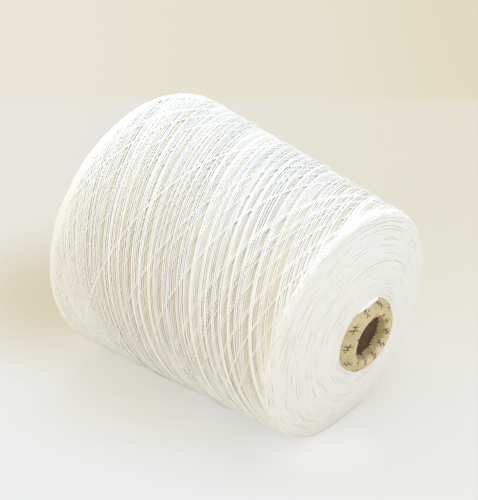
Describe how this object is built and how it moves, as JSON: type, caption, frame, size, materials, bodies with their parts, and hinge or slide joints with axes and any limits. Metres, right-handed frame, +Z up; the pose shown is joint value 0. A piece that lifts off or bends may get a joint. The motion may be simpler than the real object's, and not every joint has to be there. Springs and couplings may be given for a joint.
{
  "type": "thread cone",
  "caption": "Cone of heavy white sewing thread: a parallel cross-wound package on a tapered paper cone with a rounded, turned-in nose, lying on its side.",
  "frame": {"origin": "centre of the bounding box at its bottom, on the line along which the package rests", "axes": "+X points along the table towards the cone's nose, +Z up. The cone's own axis dips 4.333 degrees towards the nose, in the XZ plane"},
  "size_m": [0.1732, 0.1484, 0.1449],
  "materials": {
    "raw_paper": "raw brown board",
    "board": "raw board, seen at the cut base edge",
    "printed_paper": "matte kraft with dark brown printed marks",
    "thread": "matte white cotton thread"
  },
  "bodies": {
    "root": {"cone_liner": "raw_paper", "cone_board": "board", "cone_cover": "printed_paper", "thread_package": "thread", "outward_courses": "thread", "return_courses": "thread"}
  },
  "joints": []
}
